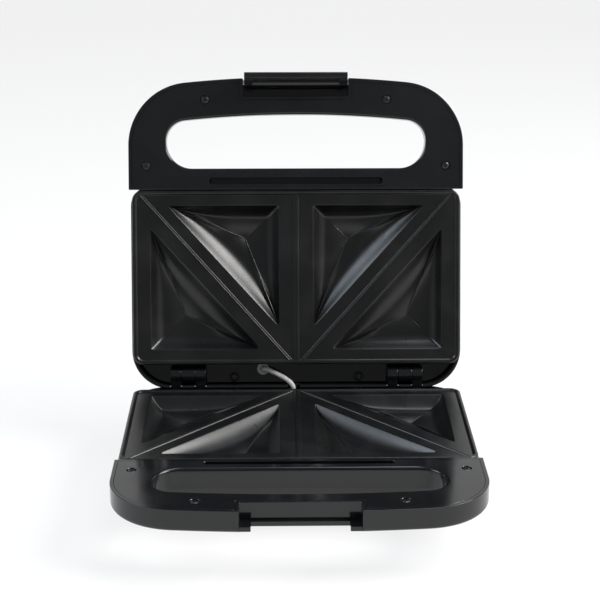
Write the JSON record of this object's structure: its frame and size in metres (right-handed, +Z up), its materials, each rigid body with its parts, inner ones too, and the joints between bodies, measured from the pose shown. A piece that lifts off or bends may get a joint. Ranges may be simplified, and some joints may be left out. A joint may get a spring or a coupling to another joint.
{
  "type": "sandwich toaster",
  "caption": "Two-slice sandwich toaster with a hinged lid on its stop, pocketed non-stick plates, loop handles and a swinging latch.",
  "frame": {"origin": "on the table, under the middle of the open toaster's bounding box", "axes": "+Z up, -Y to the front where the handles are, +X to the right seen from the front; the lid is open on its stop"},
  "size_m": [0.242, 0.2768, 0.2736],
  "materials": {
    "gloss_black": "glossy black moulded plastic",
    "nonstick": "satin black non-stick coating on pressed aluminium",
    "element_sheath": "dull sheathed element tube",
    "bright_sheet": "bright rolled sheet",
    "steel": "plain steel",
    "dark_screw": "blackened steel screw",
    "foot_rubber": "matt black rubber",
    "ceramic_white": "unglazed steatite",
    "silicone": "white silicone rubber",
    "glass_braid": "braided glass-fibre sleeve",
    "red_lens": "clear red plastic",
    "green_lens": "clear green plastic",
    "lamp_glass": "clear glass neon lamp"
  },
  "bodies": {
    "base": {"base_housing": "gloss_black", "base_handle_cover": "gloss_black", "base_plate": "nonstick", "base_heating_element": "element_sheath", "base_heat_reflector": "bright_sheet", "base_reflector_screws": "steel", "base_cover_screws": "dark_screw", "base_hinge_bracket": "gloss_black", "base_hinge_screws": "dark_screw", "hinge_pin_left": "steel", "hinge_pin_right": "steel", "foot_front_left": "foot_rubber", "foot_front_right": "foot_rubber", "foot_rear_left": "foot_rubber", "foot_rear_right": "foot_rubber", "terminal_block": "ceramic_white", "thermal_fuse": "bright_sheet", "cord_gland": "foot_rubber", "base_lead_bush": "silicone", "lid_lead": "glass_braid"},
    "lid": {"lid_housing": "gloss_black", "lid_handle_cover": "gloss_black", "lid_plate": "nonstick", "lid_heating_element": "element_sheath", "lid_heat_reflector": "bright_sheet", "lid_reflector_screws": "steel", "lid_cover_screws": "dark_screw", "lid_hinge_bracket": "gloss_black", "lid_hinge_screws": "dark_screw", "power_lens": "red_lens", "ready_lens": "green_lens", "power_lamp": "lamp_glass", "ready_lamp": "lamp_glass", "thermostat": "bright_sheet", "splice_connector": "ceramic_white", "lid_lead_bush": "silicone", "latch_pin": "steel"},
    "latch": {"latch": "gloss_black"}
  },
  "joints": [
    {"name": "lid_hinge", "type": "hinge", "parent": "base", "child": "lid", "pos_m": [0, 0.0767, 0.0561], "axis": [1, 0, 0], "range_deg": [0, 104.6], "deforming": ["lid_lead"]},
    {"name": "latch_hinge", "type": "hinge", "parent": "lid", "child": "latch", "pos_m": [0, 0.13029, 0.26225], "axis": [1, 0, 0], "range_deg": [-100, 0]}
  ]
}
